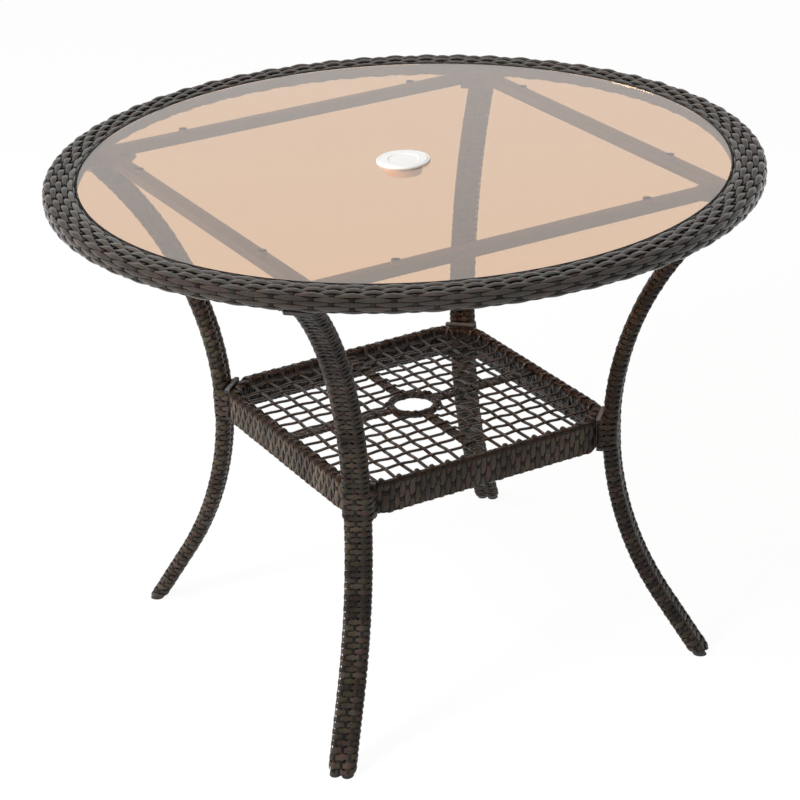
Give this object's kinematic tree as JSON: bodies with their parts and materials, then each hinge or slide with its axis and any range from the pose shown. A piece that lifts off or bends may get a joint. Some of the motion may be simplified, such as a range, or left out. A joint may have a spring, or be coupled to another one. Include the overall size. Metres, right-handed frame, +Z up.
{
  "type": "umbrella table",
  "caption": "Round woven patio table with a tinted glass top, an umbrella hole with its ring and plug, curved legs and a square netted shelf.",
  "frame": {"origin": "on the floor, under the middle of the umbrella hole", "axes": "+Z up along the umbrella hole's axis, +X and +Y along the shelf's sides and the bars under the glass; the legs stand on the diagonals"},
  "size_m": [0.9973, 0.9974, 0.7363],
  "materials": {
    "dark_wicker": "satin woven strand",
    "tinted_glass": "clear polished",
    "white_plastic": "satin",
    "clear_pads": "clear",
    "painted_steel": "satin powder coat",
    "steel_bolts": "zinc",
    "dark_plastic": "matte",
    "grey_plastic": "matte"
  },
  "bodies": {
    "table_frame": {"rim_wicker": "dark_wicker", "leg_wicker_front": "dark_wicker", "leg_wicker_right": "dark_wicker", "leg_wicker_back": "dark_wicker", "leg_wicker_left": "dark_wicker", "shelf_frame_wicker": "dark_wicker", "cross_wicker_front_left": "dark_wicker", "cross_wicker_front_right": "dark_wicker", "cross_wicker_back_left": "dark_wicker", "cross_wicker_back_right": "dark_wicker", "centre_ring_wicker": "dark_wicker", "shelf_net_front": "dark_wicker", "shelf_net_right": "dark_wicker", "shelf_net_back": "dark_wicker", "shelf_net_left": "dark_wicker", "glass_pads": "clear_pads", "rim_outer_hoop": "painted_steel", "rim_inner_hoop": "painted_steel", "rim_spreaders": "painted_steel", "support_bar_front_left": "painted_steel", "support_bar_front_right": "painted_steel", "support_bar_back_left": "painted_steel", "support_bar_back_right": "painted_steel", "corner_gusset_front": "painted_steel", "corner_gusset_right": "painted_steel", "corner_gusset_back": "painted_steel", "corner_gusset_left": "painted_steel", "leg_top_plate_front": "painted_steel", "leg_top_plate_right": "painted_steel", "leg_top_plate_back": "painted_steel", "leg_top_plate_left": "painted_steel", "leg_tubes_front": "painted_steel", "leg_tubes_right": "painted_steel", "leg_tubes_back": "painted_steel", "leg_tubes_left": "painted_steel", "shelf_bracket_front": "painted_steel", "shelf_bracket_right": "painted_steel", "shelf_bracket_back": "painted_steel", "shelf_bracket_left": "painted_steel", "shelf_frame_tube": "painted_steel", "shelf_cross_bars": "painted_steel", "shelf_centre_ring": "painted_steel", "leg_bolts": "steel_bolts", "shelf_bolts": "steel_bolts", "foot_caps_front": "dark_plastic", "foot_caps_right": "dark_plastic", "foot_caps_back": "dark_plastic", "foot_caps_left": "dark_plastic", "bracket_caps": "grey_plastic"},
    "glass": {"glass_top": "tinted_glass"},
    "ring": {"umbrella_ring": "white_plastic"},
    "plug": {"umbrella_plug": "white_plastic"}
  },
  "joints": [
    {"name": "glass_lift", "type": "slide", "parent": "table_frame", "child": "glass", "axis": [0, 0, 1], "range_m": [0, 0.06]},
    {"name": "ring_lift", "type": "slide", "parent": "glass", "child": "ring", "axis": [0, 0, 1], "range_m": [0, 0.035]},
    {"name": "plug_lift", "type": "slide", "parent": "ring", "child": "plug", "axis": [0, 0, 1], "range_m": [0, 0.03]}
  ]
}
